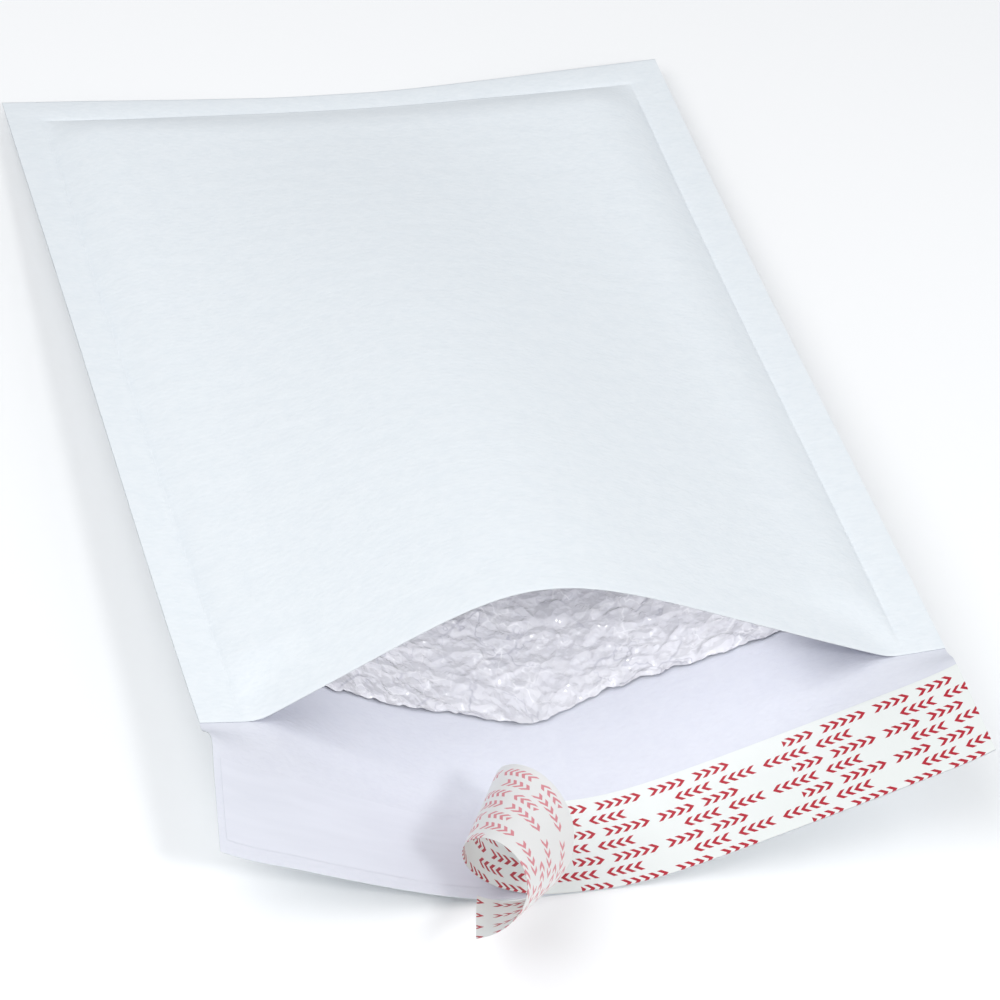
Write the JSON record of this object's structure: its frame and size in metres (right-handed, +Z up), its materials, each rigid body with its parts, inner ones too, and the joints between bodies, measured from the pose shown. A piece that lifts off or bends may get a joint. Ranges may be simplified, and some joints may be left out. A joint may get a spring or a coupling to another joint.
{
  "type": "padded envelope",
  "caption": "Open self-seal mailing envelope of white paper lined with air-bubble film, lying on its back, with the release liner of its flap half peeled and curled.",
  "frame": {"origin": "on the underside of the back panel, halfway along the body, in the middle of the flat strip that the envelope rests on", "axes": "+X across the width, to the right as seen from the mouth; +Y along the length, from the mouth and flap to the closed end; +Z up, through the front panel"},
  "size_m": [0.2157, 0.3841, 0.0617],
  "materials": {
    "paper": "matte white kraft paper with a fine fibre mottle",
    "film": "translucent grey-lilac polyethylene air-bubble film",
    "adhesive": "clear tacky hot-melt band, slightly glossy",
    "liner": "smooth silicone-coated release paper, printed with rows of small red marks"
  },
  "bodies": {
    "root": {"paper_shell": "paper", "bubble_lining": "film", "adhesive_strip": "adhesive", "release_liner": "liner"}
  },
  "joints": []
}
